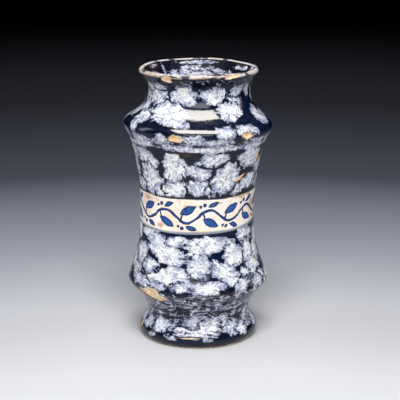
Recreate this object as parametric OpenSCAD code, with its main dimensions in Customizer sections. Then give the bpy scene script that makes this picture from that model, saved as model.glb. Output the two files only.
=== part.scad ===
// Tin-glazed earthenware drug jar (albarello): a turned clay body in three luted sections,
// coated with glaze inside and out, with a pale label band reserved round the waist.
// The jar stands on Z = 0 and its axis is the Z axis. All sizes are in millimetres.

/* [Heights, from the table up] */
// From the table to the widest ring of the foot
foot_rise = 5.7; // [4:0.1:9]
// From the widest ring of the foot to the pinched waist above it
foot_waist_rise = 14.1; // [12:0.1:20]
// From the pinched waist to the lower shoulder
flare_rise = 24; // [20:0.1:32]
// From the lower shoulder to the jar's waist
lower_body_rise = 48.8; // [40:0.1:70]
// From the jar's waist to the seam under the upper shoulder
upper_body_rise = 55; // [42:0.1:72]
// From the seam to the crest of the upper shoulder
shoulder_rise = 11.5; // [9:0.1:18]
// From the crest of the upper shoulder to the neck
shoulder_top_rise = 26.6; // [22:0.1:36]
// From the neck to the top of the lip
lip_rise = 14.3; // [11:0.1:20]

/* [Diameters, over the glaze] */
// Where the foot meets the table
foot_base_d = 81.4; // [74:0.1:86]
// Widest ring of the foot
foot_d = 87.8; // [84:0.1:100]
// Pinched waist above the foot
foot_waist_d = 75.5; // [68:0.1:80]
// Lower shoulder
lower_shoulder_d = 103.2; // [94:0.1:120]
// Waist of the jar
waist_d = 83.2; // [76:0.1:90]
// Seam under the upper shoulder
seam_d = 98.4; // [92:0.1:102]
// Upper shoulder
shoulder_d = 107.8; // [104:0.1:120]
// Neck
neck_d = 73.8; // [66:0.1:78]
// Lip
lip_d = 86.4; // [82:0.1:96]

/* [Roundness of the turned curves] */
// Reach of the foot's round edge, under its widest ring
foot_under_round = 2.6; // [1.5:0.1:3.5]
// Reach of the foot's round shoulder, over its widest ring
foot_round = 5; // [2:0.1:6]
// Reach of the hollow at the pinched waist
foot_hollow = 4.9; // [3:0.1:7]
// Reach of the flare as it leaves the pinched waist
flare_round = 11.4; // [7:0.1:14]
// Reach of the lower shoulder's round edge
lower_shoulder_round = 4.4; // [2:0.1:6]
// Reach of the long hollow under the jar's waist
waist_under_round = 30; // [18:0.5:34]
// Reach of the long hollow over the jar's waist
waist_over_round = 26; // [16:0.5:34]
// Reach of the upper shoulder's round edge, under its crest
shoulder_under_round = 2.6; // [1.5:0.1:4]
// Reach of the upper shoulder's round edge, over its crest
shoulder_over_round = 7.1; // [4:0.1:9]
// Reach of the hollow between shoulder and neck
neck_hollow = 18.7; // [12:0.5:20]
// Reach of the flare from the neck to the lip
lip_flare = 4.3; // [3:0.1:7]
// How much the wall spreads, millimetre for millimetre, where it comes up to the seam
seam_spread = 0.3; // [0.1:0.02:0.4]
// Reach of that straight spread under the seam
seam_reach = 13; // [8:0.5:16]
// How far the shoulder section stands out past the body at the seam
seam_ledge = 0.6; // [0.3:0.1:1]
// Height in which the wall swells out to that ledge
seam_ledge_rise = 1.8; // [1.2:0.1:3]
// Reach of the slope from the ledge to the upper shoulder
shoulder_slope = 3.7; // [2:0.1:5]
// Reach of the round hollow inside the upper shoulder, under its crest
shoulder_inside_round = 5; // [2:0.5:8]

/* [Wall] */
// Thickness of the body's wall, glaze included
wall = 6; // [5:0.1:8]
// Extra thickness inside the two shoulders, where the inside is turned less sharply
shoulder_extra = 2.5; // [0.5:0.1:4]
// Thickness of the neck's wall, glaze included
neck_wall = 4.8; // [4:0.1:6]
// Thickness of the rolled lip, glaze included
lip_wall = 3.6; // [3:0.1:4.6]
// Thickness of the floor, glaze included
floor_wall = 8.5; // [6:0.1:10]
// Round corner between floor and wall inside
floor_round = 5; // [3:0.1:7]

/* [Foot underside] */
// Depth of the turned hollow under the floor
recess_depth = 2.5; // [1:0.1:4]
// Width of the bare clay ring that the jar stands on
standing_ring = 9; // [6:0.1:12]
// Height of bare clay left unglazed at the foot's lower edge
foot_bare = 1.2; // [0.6:0.1:2]

/* [Glaze] */
// Thickness of the ground glaze, inside and out
glaze = 0.5; // [0.3:0.05:0.8]
// How far the label band's surface lies below the ground glaze beside it
label_sink = 0.15; // [0.05:0.05:0.2]

/* [Label band] */
// Height of the band
label_h = 26.2; // [16:0.1:34]
// Height of the band's middle above the jar's waist
label_rise = 6.4; // [-8:0.1:10]

/* [Luted joints] */
// Thickness of the slip that joins two clay sections
slip = 0.4; // [0.2:0.1:0.8]
// How much higher a joint is on the outside of the wall than on the inside
joint_bevel = 3; // [1:0.1:4]

/* [Hidden] */

// Straight pieces that each curve of the outline is cut into
curve_steps = 16;
// Straight pieces of the round lip and of the floor's corner
round_steps = 12;
// Sides of a turned piece when it is drawn
turn_sides = 120;

// The foot's edge leaves the table at this angle
foot_edge_lean = 53;
// The outline leans out by this angle where the flare runs into the rolled lip
lip_lean = 35;

clay_colour = "burlywood";
slip_colour = "peru";
ground_colour = "midnightblue";
label_colour = "antiquewhite";
lip_colour = "lightgrey";
inner_colour = "slategray";

// Heights of the outline's stations above the table
foot_z = foot_rise;
foot_waist_z = foot_z + foot_waist_rise;
lower_shoulder_z = foot_waist_z + flare_rise;
waist_z = lower_shoulder_z + lower_body_rise;
seam_z = waist_z + upper_body_rise;
shoulder_z = seam_z + shoulder_rise;
neck_z = shoulder_z + shoulder_top_rise;
top_z = neck_z + lip_rise;

floor_z = recess_depth + floor_wall;
label_low_z = waist_z + label_rise - label_h / 2;
label_high_z = label_low_z + label_h;

// Middle of the rolled lip's round end, as [radius, height]
lip_round = lip_wall / 2;
lip_middle = [lip_d / 2 - lip_round, top_z - lip_round];

// Heights of the two luted joints, inside and outside the wall
foot_joint_out_z = foot_waist_z + joint_bevel / 2;
foot_joint_in_z = foot_waist_z - joint_bevel / 2;
seam_joint_out_z = seam_z;
seam_joint_in_z = seam_z - joint_bevel;

// Points are [radius, height]. This one is a step along the circle's direction at an angle.
function polar(distance, angle) = [distance * cos(angle), distance * sin(angle)];

function unit(v) = v / norm(v);

function drop_first(list) = [for (i = [1:1:len(list) - 1]) list[i]];

function reverse(list) = [for (i = [len(list) - 1:-1:0]) list[i]];

function bezier_point(p, t) =
    pow(1 - t, 3) * p[0] + 3 * t * pow(1 - t, 2) * p[1] + 3 * t * t * (1 - t) * p[2] + pow(t, 3) * p[3];

function bezier_heading(p, t) =
    unit(pow(1 - t, 2) * (p[1] - p[0]) + 2 * t * (1 - t) * (p[2] - p[1]) + t * t * (p[3] - p[2]));

// A curve from p[0] to p[3] that climbs, moved sideways towards the axis by inset
function curve(p, inset) = [
    for (i = [0:curve_steps])
        let (t = i / curve_steps, heading = bezier_heading(p, t))
        bezier_point(p, t) + inset * [-heading[1], heading[0]]
];

// A round stretch about a middle point, from one angle to another
function arc(middle, radius, from, to) = [
    for (i = [0:round_steps]) middle + polar(radius, from + (to - from) * i / round_steps)
];

// A curve between two stations [radius, height] that leaves and arrives upright
function upright_curve(low, high, low_reach, high_reach) = [
    low, low + [0, low_reach], high - [0, high_reach], high
];

// The jar's outside, from the table to the lip, moved into the wall by inset
function outside(inset) =
    let (
        base = [foot_base_d / 2, 0],
        foot_crest = [foot_d / 2, foot_z],
        foot_waist = [foot_waist_d / 2, foot_waist_z],
        lower_crest = [lower_shoulder_d / 2, lower_shoulder_z],
        waist = [waist_d / 2, waist_z],
        seam = [seam_d / 2, seam_z],
        ledge = seam + [seam_ledge, seam_ledge_rise],
        crest = [shoulder_d / 2, shoulder_z],
        neck = [neck_d / 2, neck_z],
        lip_end = lip_middle + polar(lip_round, -lip_lean),
        lip_heading = polar(1, 90 - lip_lean),
        seam_heading = unit([seam_spread, 1]),
        crest_heading = unit(crest - ledge)
    )
    concat(
        curve([base, base + polar(foot_under_round, foot_edge_lean), foot_crest - [0, foot_under_round],
               foot_crest], inset),
        drop_first(curve(upright_curve(foot_crest, foot_waist, foot_round, foot_hollow), inset)),
        drop_first(curve(upright_curve(foot_waist, lower_crest, flare_round, lower_shoulder_round), inset)),
        drop_first(curve(upright_curve(lower_crest, waist, lower_shoulder_round, waist_under_round), inset)),
        drop_first(curve([waist, waist + [0, waist_over_round], seam - seam_heading * seam_reach, seam],
                         inset)),
        drop_first(curve([seam, seam + seam_heading * seam_ledge, ledge - crest_heading * seam_ledge,
                          ledge], inset)),
        drop_first(curve([ledge, ledge + crest_heading * shoulder_slope,
                          crest - [0, shoulder_under_round], crest], inset)),
        drop_first(curve(upright_curve(crest, neck, shoulder_over_round, neck_hollow), inset)),
        drop_first(curve([neck, neck + [0, lip_flare], lip_end - lip_heading * lip_flare, lip_end], inset))
    );

// The jar's inside, from the middle of the floor to the lip, moved into the wall by inset
function inside(inset) =
    let (
        foot_waist = [foot_waist_d / 2 - wall, foot_waist_z],
        lower_crest = [lower_shoulder_d / 2 - wall - shoulder_extra, lower_shoulder_z],
        waist = [waist_d / 2 - wall, waist_z],
        seam = [seam_d / 2 - wall, seam_z],
        crest = [shoulder_d / 2 - wall - shoulder_extra, shoulder_z],
        neck = [neck_d / 2 - neck_wall, neck_z],
        lip_end = lip_middle + polar(lip_round, 180 - lip_lean),
        lip_heading = polar(1, 90 - lip_lean),
        seam_heading = unit([seam_spread, 1]),
        corner = min(floor_round, foot_joint_in_z - floor_z)
    )
    concat(
        [[0, floor_z - inset]],
        arc([foot_waist[0] - corner, floor_z + corner], corner + inset, -90, 0),
        curve(upright_curve(foot_waist, lower_crest, flare_round, lower_shoulder_round), -inset),
        drop_first(curve(upright_curve(lower_crest, waist, lower_shoulder_round, waist_under_round), -inset)),
        drop_first(curve([waist, waist + [0, waist_over_round], seam - seam_heading * seam_reach, seam],
                         -inset)),
        drop_first(curve([seam, seam + seam_heading * shoulder_slope,
                          crest - [0, shoulder_inside_round], crest], -inset)),
        drop_first(curve(upright_curve(crest, neck, shoulder_over_round, neck_hollow), -inset)),
        drop_first(curve([neck, neck + [0, lip_flare], lip_end - lip_heading * lip_flare, lip_end], -inset))
    );

// Point where the straight piece from a to b reaches a height
function at_height(a, b, z) = a + (b - a) * (z - a[1]) / (b[1] - a[1]);

// The part of a climbing path between two heights, cut level at both
function between(path, low, high) = [
    for (i = [0:len(path) - 2])
        let (a = path[i], b = path[i + 1])
        each concat(
            a[1] >= low && a[1] <= high ? [a] : [],
            a[1] < low && b[1] > low ? [at_height(a, b, low)] : [],
            a[1] < high && b[1] > high ? [at_height(a, b, high)] : []
        ),
    if (path[len(path) - 1][1] <= high) path[len(path) - 1]
];

// The four surfaces that the layers lie between
skin = outside(0);
clay_outside = outside(glaze);
lining = inside(0);
clay_inside = inside(glaze);
above_all = 2 * top_z;

// A ring or cup turned from a closed outline in the half-plane beside the axis
module turned(outline) {
    rotate_extrude($fn = turn_sides) polygon(outline);
}

// A turned layer between an outer path and an inner one, both climbing
module layer(outer, inner) {
    turned(concat(outer, reverse(inner)));
}

// Lowest clay section: standing ring, hollowed underside and the jar's floor
module foot() {
    bare_edge = [foot_base_d / 2 - glaze, 0];
    ring_inside = bare_edge - [standing_ring, 0];
    color(clay_colour)
        turned(concat(
            [[0, recess_depth], ring_inside + [-recess_depth, recess_depth], ring_inside, bare_edge],
            between(clay_outside, foot_bare, foot_joint_out_z),
            reverse(between(clay_inside, 0, foot_joint_in_z))
        ));
}

// Slip that lutes the body's wall to the foot
module foot_slip() {
    color(slip_colour)
        layer(between(clay_outside, foot_joint_out_z, foot_joint_out_z + slip),
              between(clay_inside, foot_joint_in_z, foot_joint_in_z + slip));
}

// Middle clay section: the lower shoulder and the waisted wall
module body_wall() {
    color(clay_colour)
        layer(between(clay_outside, foot_joint_out_z + slip, seam_joint_out_z),
              between(clay_inside, foot_joint_in_z + slip, seam_joint_in_z));
}

// Slip that lutes the shoulder section to the body's wall
module shoulder_slip() {
    color(slip_colour)
        layer(between(clay_outside, seam_joint_out_z, seam_joint_out_z + slip),
              between(clay_inside, seam_joint_in_z, seam_joint_in_z + slip));
}

// Top clay section: the upper shoulder, the neck and the rolled lip
module neck_and_shoulder() {
    color(clay_colour)
        turned(concat(
            between(clay_outside, seam_joint_out_z + slip, above_all),
            drop_first(arc(lip_middle, lip_round - glaze, -lip_lean, 180 - lip_lean)),
            drop_first(reverse(between(clay_inside, seam_joint_in_z + slip, above_all)))
        ));
}

// Dark ground glaze from the foot's bare edge up to the label band
module lower_glaze() {
    color(ground_colour)
        layer(between(skin, foot_bare, label_low_z), between(clay_outside, foot_bare, label_low_z));
}

// Pale glaze reserved for the label, a little thinner than the ground glaze
module label_band() {
    color(label_colour)
        layer(between(outside(label_sink), label_low_z, label_high_z),
              between(clay_outside, label_low_z, label_high_z));
}

// Dark ground glaze from the label band up to the lip
module upper_glaze() {
    color(ground_colour)
        layer(between(skin, label_high_z, above_all), between(clay_outside, label_high_z, above_all));
}

// Thin glaze over the rolled lip
module lip_glaze() {
    color(lip_colour)
        layer(arc(lip_middle, lip_round, -lip_lean, 180 - lip_lean),
              arc(lip_middle, lip_round - glaze, -lip_lean, 180 - lip_lean));
}

// Glaze lining of the inside, from the floor's middle up to the lip
module inner_glaze() {
    color(inner_colour)
        turned(concat(clay_inside, reverse(lining)));
}

foot();
foot_slip();
body_wall();
shoulder_slip();
neck_and_shoulder();
lower_glaze();
label_band();
upper_glaze();
lip_glaze();
inner_glaze();
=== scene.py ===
import math

import bmesh
import bpy
import numpy as np
from mathutils import Matrix, Vector, noise


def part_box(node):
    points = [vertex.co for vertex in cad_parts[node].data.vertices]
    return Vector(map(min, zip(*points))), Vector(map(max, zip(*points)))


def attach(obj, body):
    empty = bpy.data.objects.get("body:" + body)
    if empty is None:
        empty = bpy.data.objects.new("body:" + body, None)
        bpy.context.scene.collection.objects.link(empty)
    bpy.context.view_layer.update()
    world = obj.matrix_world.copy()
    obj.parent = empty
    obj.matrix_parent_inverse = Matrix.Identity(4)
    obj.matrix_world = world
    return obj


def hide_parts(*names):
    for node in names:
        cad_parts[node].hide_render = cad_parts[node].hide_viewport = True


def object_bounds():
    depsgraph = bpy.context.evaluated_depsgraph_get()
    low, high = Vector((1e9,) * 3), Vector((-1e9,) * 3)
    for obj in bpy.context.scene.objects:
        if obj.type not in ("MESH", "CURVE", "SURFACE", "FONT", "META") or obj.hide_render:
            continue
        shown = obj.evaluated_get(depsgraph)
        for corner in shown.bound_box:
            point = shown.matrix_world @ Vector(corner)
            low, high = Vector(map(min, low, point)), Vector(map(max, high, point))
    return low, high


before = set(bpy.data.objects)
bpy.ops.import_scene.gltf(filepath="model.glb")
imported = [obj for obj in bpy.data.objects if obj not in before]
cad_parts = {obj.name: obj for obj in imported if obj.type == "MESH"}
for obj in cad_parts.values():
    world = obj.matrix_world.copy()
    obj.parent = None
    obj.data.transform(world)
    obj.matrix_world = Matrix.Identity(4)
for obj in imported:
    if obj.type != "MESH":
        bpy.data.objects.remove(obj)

cad_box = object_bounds()

# Foot
# The lowest clay section: a ring and floor thrown in buff earthenware, hollowed underneath by
# turning and left bare where it stands. The wall was luted onto it before the first firing.
MM = 0.001
FULL_TURN = 2 * math.pi
JAR_HEIGHT = cad_box[1].z
SAME_CIRCLE = 0.003 * MM
SHARP_CORNER = math.radians(30)


def outline_of(node):
    """The outline of a turned CAD node beside the axis, as points of radius and height, and whether
    it closes."""
    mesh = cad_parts[node].data
    spots = np.array([v.co for v in mesh.vertices], float)
    places = np.stack([np.hypot(spots[:, 0], spots[:, 1]), spots[:, 2]], 1)
    rough, rough_of = np.unique(np.round(places, 6), axis=0, return_inverse=True)
    apart = np.linalg.norm(rough[:, None] - rough[None], axis=2)
    circle_of = np.argmax(apart < SAME_CIRCLE, axis=1)[rough_of.ravel()]
    beside = {}
    mesh.calc_loop_triangles()
    for triangle in mesh.loop_triangles:
        ring = {int(circle_of[v]) for v in triangle.vertices}
        for a in ring:
            beside.setdefault(a, set()).update(ring - {a})
    ends = [c for c in beside if len(beside[c]) == 1]
    here = min(ends or beside, key=lambda c: rough[c][1])
    path = []
    while here is not None:
        path.append(here)
        here = next((c for c in sorted(beside[here]) if c not in path), None)
    points = rough[path]
    if ends:
        points = np.vstack([points[0] * [0, 1], points, points[-1] * [0, 1]])
    return points, not ends


def runs_of(points, closed):
    """The outline cut into smooth runs at its sharp corners."""
    ahead = np.roll(points, -1, axis=0) - points
    heading = np.arctan2(ahead[:, 1], ahead[:, 0])
    bend = np.abs((heading - np.roll(heading, 1) + math.pi) % FULL_TURN - math.pi)
    corners = [i for i in range(len(points)) if bend[i] > SHARP_CORNER]
    if closed:
        order = [(corners[0] + i) % len(points) for i in range(len(points))] + [corners[0]]
        points = points[order]
        corners = [order.index(c) for c in corners] + [len(order) - 1]
    else:
        corners = sorted({0, len(points) - 1, *corners})
    return [points[a:b + 1] for a, b in zip(corners, corners[1:])]


def smooth_run(points, step):
    """A smooth curve through the points of a run, sampled evenly about a step apart."""
    along = np.append(0, np.cumsum(np.linalg.norm(np.diff(points, axis=0), axis=1)))
    slope = np.gradient(points, along, axis=0)
    at = np.linspace(0, along[-1], max(1, round(along[-1] / step)) + 1)
    i = np.clip(np.searchsorted(along, at, side="right") - 1, 0, len(along) - 2)
    gap = (along[i + 1] - along[i])[:, None]
    t = (at - along[i])[:, None] / gap
    return (points[i] * (2 * t ** 3 - 3 * t ** 2 + 1) + points[i + 1] * (3 * t ** 2 - 2 * t ** 3)
            + slope[i] * gap * (t ** 3 - 2 * t ** 2 + t) + slope[i + 1] * gap * (t ** 3 - t ** 2))


def swell(distance, width):
    """A soft bump, one in its middle and nothing a few widths away."""
    return np.exp(-(distance / width) ** 2)


# Lobes by which the jar is out of round: how many go round it, their share of the radius, where the
# first one lies, and how far they wind on the way up
LOBES = [
    (2, 0.0034, 0.6, 5), (3, 0.0022, -1, 9), (5, 0.0010, -math.pi / 2, 14), (8, 0.0006, -math.pi / 2, -23)]
RING_PITCH = 5.4 * MM
RING_SHARE = 0.0009
RING_WAVER = 0.9
# Where the jar leans to the side: the height, how far up and down that reaches, and by how much
SWAYS = [(82 * MM, 30 * MM, -1.1 * MM), (186 * MM, 14 * MM, 0.7 * MM)]
SHOULDER_TILT = (159 * MM, 12 * MM, -0.022)
# The band's two edges: the height, the rise towards the sides, how much more of it is on the right, and
# the height, number and start of the waves
BAND_EDGES = [(86 * MM, 2.1 * MM, 0.46, 0.25 * MM, 4, 1), (112 * MM, 0.9 * MM, 0.4, 0.2 * MM, 5, 2)]
EDGE_REACH = 9 * MM
LIP_WAVE = 0.35 * MM
LIP_RIPPLE = 0.22 * MM
LIP_REACH = 10 * MM


def hand_thrown(points):
    """Moves points of a perfectly turned piece to where the potter's hands left them."""
    x, y, z = np.array(points, float).T
    turn = np.arctan2(x, -y)
    wind = z / JAR_HEIGHT
    out = 1 + sum(share * np.cos(count * turn + start + twist * wind)
                  for count, share, start, twist in LOBES)
    out += RING_SHARE * np.sin(FULL_TURN * z / RING_PITCH + turn + RING_WAVER * np.sin(2 * turn))
    sway = sum(size * swell(z - height, reach) for height, reach, size in SWAYS)
    height, reach, size = SHOULDER_TILT
    up = size * x * swell(z - height, reach)
    right = np.sin(turn)
    for height, size, slant, wave, count, start in BAND_EDGES:
        edge = size * right ** 2 * (1 + slant * right) + wave * np.sin(count * turn + start)
        up += edge * swell(z - height, EDGE_REACH)
    lip_wave = LIP_WAVE * np.sin(2 * turn + 1.2) + LIP_RIPPLE * np.sin(5 * turn)
    up += lip_wave * swell(z - JAR_HEIGHT, LIP_REACH)
    return np.stack([x * out + sway, y * out, z + up], 1)


def mark_corners(mesh, name, values):
    """Keeps a number or a vector for each corner of a mesh, under a name that materials read."""
    kind, field = ("FLOAT", "value") if values.ndim == 1 else ("FLOAT_VECTOR", "vector")
    marks = mesh.attributes.new(name, kind, "POINT")
    marks.data.foreach_set(field, values.astype(np.float32).ravel())


def show(name, data):
    """A new object in the scene that shows a mesh, a light or a camera."""
    made = bpy.data.objects.new(name, data)
    bpy.context.scene.collection.objects.link(made)
    return made


SHORTEST_FRONT = 4 * MM
HIDDEN_STEP = 3 * MM
HIDDEN_SHARE = 0.12


def turned_piece(name, node, step, columns, shown=None):
    """A closed mesh spun from a node's outline, with the hand's irregularities. The side that is shown
    gets the finer mesh and most of the map, which unrolls the piece round the axis. The rise mark
    keeps each corner's height as it was before the hand moved it."""
    points, closed = outline_of(node)
    runs = runs_of(points, closed)
    facing = {"outside": max, "inside": min}.get(shown)
    long_runs = [r for r in runs if np.ptp(r, axis=0).max() > SHORTEST_FRONT]
    front = facing(long_runs, key=lambda r: smooth_run(r, step)[:, 0].mean()) if facing else None
    shares = [1.0 if front is None or r is front else HIDDEN_SHARE for r in runs]
    runs = [smooth_run(r, step if share == 1 else HIDDEN_STEP) for r, share in zip(runs, shares)]
    rows = np.vstack([r[:-1] for r in runs] + ([] if closed else [runs[-1][-1:]]))
    lengths = [share * np.linalg.norm(np.diff(r, axis=0), axis=1) for r, share in zip(runs, shares)]
    heights = np.append(0, np.cumsum(np.concatenate(lengths)))
    heights /= heights[-1]
    turns = math.pi + FULL_TURN * np.arange(columns) / columns
    on_axis = rows[:, 0] < SAME_CIRCLE
    corners, starts = [], []
    for row, middle in zip(rows, on_axis):
        starts.append(len(corners))
        ring = [math.pi] if middle else turns
        corners += [(row[0] * math.sin(t), -row[0] * math.cos(t), row[1]) for t in ring]

    def edge(row, column):
        """A row's corners at both sides of a column of faces, each with its place in the map."""
        if on_axis[row]:
            return [(starts[row], column)]
        return [(starts[row] + column, column), (starts[row] + (column + 1) % columns, column + 1)]

    faces, uvs = [], []
    bands = len(rows) if closed else len(rows) - 1
    for i in range(bands):
        for j in range(columns):
            low = edge(i, j)
            high = edge((i + 1) % len(rows), j)[::-1]
            faces.append([corner for corner, _ in low + high])
            uvs += [(column / columns, heights[i]) for _, column in low]
            uvs += [(column / columns, heights[i + 1]) for _, column in high]
    mesh = bpy.data.meshes.new(name)
    mesh.from_pydata(hand_thrown(corners).tolist(), [], faces)
    mesh.uv_layers.new(name="OFBake").uv.foreach_set("vector", np.array(uvs, np.float32).ravel())
    mark_corners(mesh, "rise", np.array(corners)[:, 2])
    area = np.sum(rows[:, 0] * np.roll(rows[:, 1], -1) - np.roll(rows[:, 0], -1) * rows[:, 1])
    if area < 0:
        mesh.flip_normals()
    return show(name, mesh)


SKIN_ROWS = 2001
skin_heights = np.linspace(0, JAR_HEIGHT, SKIN_ROWS)
skin_radii = np.zeros(SKIN_ROWS)
for node in ("lower_glaze", "label_band", "upper_glaze", "lip_glaze"):
    outline = outline_of(node)[0]
    for (r0, z0), (r1, z1) in zip(outline, np.roll(outline, -1, axis=0)):
        span = np.flatnonzero((skin_heights >= min(z0, z1)) & (skin_heights <= max(z0, z1)))
        if z0 != z1:
            reached = r0 + (r1 - r0) * (skin_heights[span] - z0) / (z1 - z0)
            skin_radii[span] = np.maximum(skin_radii[span], reached)


def skin_radius(z):
    """The jar's outer radius at a height."""
    return float(np.interp(z, skin_heights, skin_radii))


LEAN_STEP = 0.6 * MM


def surface_at(turn, z):
    """The place on the jar's outside at an angle and a height: its middle, and the directions along the
    girth, out of the surface and up it. Turn is in degrees from the front, towards the right."""
    a = math.radians(turn)
    radius = skin_radius(z)
    lean = (skin_radius(z + LEAN_STEP) - skin_radius(z - LEAN_STEP)) / (2 * LEAN_STEP)
    outward = Vector((math.sin(a), -math.cos(a), -lean)).normalized()
    along = Vector((math.cos(a), math.sin(a), 0))
    middle = Vector(hand_thrown([(radius * math.sin(a), -radius * math.cos(a), z)])[0])
    return middle, along, outward, outward.cross(along).normalized()


# The knocks in front, and a few small ones behind: the angle in degrees, the height, then the width, the
# height and the depth of the break in millimetres, and its tilt in degrees
KNOCKS = {
    "lip, front left": (-32, 196.4, 9.6, 7.0, 2.2, 0),
    "lip, front right": (32.5, 198.2, 12.5, 5.2, 1.6, 6),
    "lip, back right": (129, 199.5, 5.0, 3.0, 0.9, 0),
    "lip, back left": (-150, 199.2, 6.0, 3.2, 1.0, 0),
    "upper shoulder, left": (-17, 157.0, 11.4, 7.0, 1.9, 0),
    "upper shoulder, right": (40.5, 158.6, 10.0, 6.4, 1.7, 0),
    "lower shoulder, left": (-42.5, 40.2, 23.0, 14.0, 3.0, -8),
    "lower shoulder, right": (76, 43.6, 7.5, 8.0, 1.7, 0),
    "lower shoulder, back": (168, 44.5, 9.0, 5.0, 1.3, 0),
    "foot, left": (-77, 9.0, 5.0, 5.4, 1.2, 0),
    # Along the foot's crest, a rubbed line that stands partly for real wear and partly for a painted
    # highlight
    "foot, rubbed edge with painted highlight": (-7.5, 8.6, 21.0, 1.7, 0.7, 2),
    "wall, rubbed right": (43, 125.6, 12.0, 3.0, 1.1, 30),
    "wall, rubbed far right": (65, 138.0, 7.0, 8.0, 1.2, -20),
    "wall, rubbed left": (-48, 140.0, 3.4, 1.8, 0.8, 0),
}
# How ragged a break is: the share of its size, and how much finer than the break itself
COARSE_SHARE, COARSE_FINENESS = 0.34, 1.7
FINE_SHARE, FINE_FINENESS = 0.26, 4.5
SEED_STEP = 3.7


def add_knock(breaks, seed, turn, z, wide, tall, deep, tilt):
    """Adds the lump of glaze and clay that a knock broke away: a flat ragged pebble bent along the
    girth."""
    z, wide, tall, deep = (length * MM for length in (z, wide, tall, deep))
    middle, _, outward, upward = surface_at(turn, z)
    radius = skin_radius(z)
    lean = math.radians(tilt)
    for v in bmesh.ops.create_icosphere(breaks, subdivisions=4, radius=1)["verts"]:
        ragged = 1 + COARSE_SHARE * noise.noise(v.co * COARSE_FINENESS + Vector((seed, 0, 0)))
        ragged += FINE_SHARE * noise.noise(v.co * FINE_FINENESS + Vector((0, seed, 0)))
        p = v.co * ragged
        level, across = -p.x * wide / 2, p.z * tall / 2
        round_girth = (level * math.cos(lean) - across * math.sin(lean)) / radius
        up = level * math.sin(lean) + across * math.cos(lean)
        v.co = Matrix.Rotation(round_girth, 3, "Z") @ (middle + outward * p.y * deep + upward * up)


def join(output, socket):
    """Leads an output to a socket of the same node tree."""
    output.id_data.links.new(output, socket)


def add(kind, sockets=None, tree=None, **settings):
    """A new node with its settings, and its sockets joined or set. It goes into the node tree of what it
    is joined to, unless one is given."""
    sockets = sockets or {}
    joined = [key for key, value in sockets.items() if isinstance(value, bpy.types.NodeSocket)]
    tree = tree or sockets[joined[0]].id_data
    made = tree.nodes.new(kind)
    for key, value in settings.items():
        setattr(made, key, value)
    for key, value in sockets.items():
        if key in joined:
            join(value, made.inputs[key])
        else:
            made.inputs[key].default_value = value
    return made


def calc(operation, *values):
    """A sum, product or the like of numbers."""
    return add("ShaderNodeMath", dict(enumerate(values)), operation=operation).outputs[0]


def times(first, second):
    """Two numbers multiplied."""
    return calc("MULTIPLY", first, second)


def calc_vector(operation, *values):
    """A sum, product or the like of vectors."""
    return add("ShaderNodeVectorMath", dict(enumerate(values)), operation=operation).outputs[0]


def fade(value, low, high, from_low=0.0, to_high=1.0):
    """A soft step from one value to another as the input goes from low to high."""
    sockets = {"Value": value, "From Min": low, "From Max": high, "To Min": from_low, "To Max": to_high}
    return add("ShaderNodeMapRange", sockets, interpolation_type="SMOOTHSTEP").outputs[0]


def blend(share, first, second):
    """The first colour where the share is nothing, and the second where it is one."""
    return add("ShaderNodeMix", {0: share, 6: first, 7: second}, data_type="RGBA").outputs[2]


def grain(place, spots, detail=3.0, roughness=0.55, output="Fac"):
    """Cloudy noise from nothing to one, with so many spots for each metre."""
    sockets = {"Vector": place, "Scale": spots, "Detail": detail, "Roughness": roughness}
    return add("ShaderNodeTexNoise", sockets).outputs[output]


def dress(shader, base, roughness, gloss=0.5):
    """Gives a shader its colour, its roughness and how much it mirrors."""
    join(base, shader.inputs["Base Color"])
    join(roughness, shader.inputs["Roughness"])
    shader.inputs["Specular IOR Level"].default_value = gloss


def relief(shader, height, strength, depth):
    """Lets a height show on the surface as relief of a depth."""
    bump = add("ShaderNodeBump", {"Strength": strength, "Distance": depth, "Height": height})
    join(bump.outputs[0], shader.inputs["Normal"])


def colour(red, green, blue):
    """A linear colour from the values that a screen shows, 0 to 255."""
    shown = [c / 255 for c in (red, green, blue)]
    return (*(c / 12.92 if c < 0.04045 else ((c + 0.055) / 1.055) ** 2.4 for c in shown), 1)


def new_material(name):
    """An empty material, with its glossy shader and the place on the object."""
    material = bpy.data.materials.new(name)
    material.use_nodes = True
    tree = material.node_tree
    shader = tree.nodes["Principled BSDF"]
    place = add("ShaderNodeTexCoord", tree=tree).outputs["Object"]
    return material, shader, place


CLAY_PALE = colour(255, 244, 222)
CLAY_DEEP = colour(250, 204, 150)
CLAY_GRIME = colour(92, 66, 46)
CLAY_RELIEF = 0.25 * MM


def clay_material(name, grimy):
    """Bare fired clay: sandy, buff to orange, with pits and rubbed-in grime."""
    material, shader, place = new_material(name)
    cloud = grain(place, 260, 4)
    sand = grain(place, 1900, 2)
    body = blend(fade(cloud, 0.35, 0.65), CLAY_DEEP, CLAY_PALE)
    dirt = fade(grain(place, 420, 3), 0.5, 0.68, 0.0, grimy)
    specks = fade(sand, 0.60, 0.70, 0.0, 0.45)
    body = blend(dirt, body, CLAY_GRIME)
    dress(shader, blend(specks, body, CLAY_GRIME), fade(cloud, 0.3, 0.7, 0.78, 0.92))
    relief(shader, calc("MULTIPLY_ADD", sand, 0.5, cloud), 0.5, CLAY_RELIEF)
    return material


bare_clay = clay_material("bare_clay", grimy=0.9)
broken_clay = clay_material("broken_clay", grimy=0.14)

breaks = bmesh.new()
for number, sizes in enumerate(KNOCKS.values()):
    add_knock(breaks, SEED_STEP * number + 1, *sizes)
breaks_mesh = bpy.data.meshes.new("breaks")
breaks.to_mesh(breaks_mesh)
breaks.free()
breaks_mesh.materials.append(broken_clay)
broken_away = show("broken_away", breaks_mesh)
CRISP_EDGE = math.radians(38)


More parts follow.
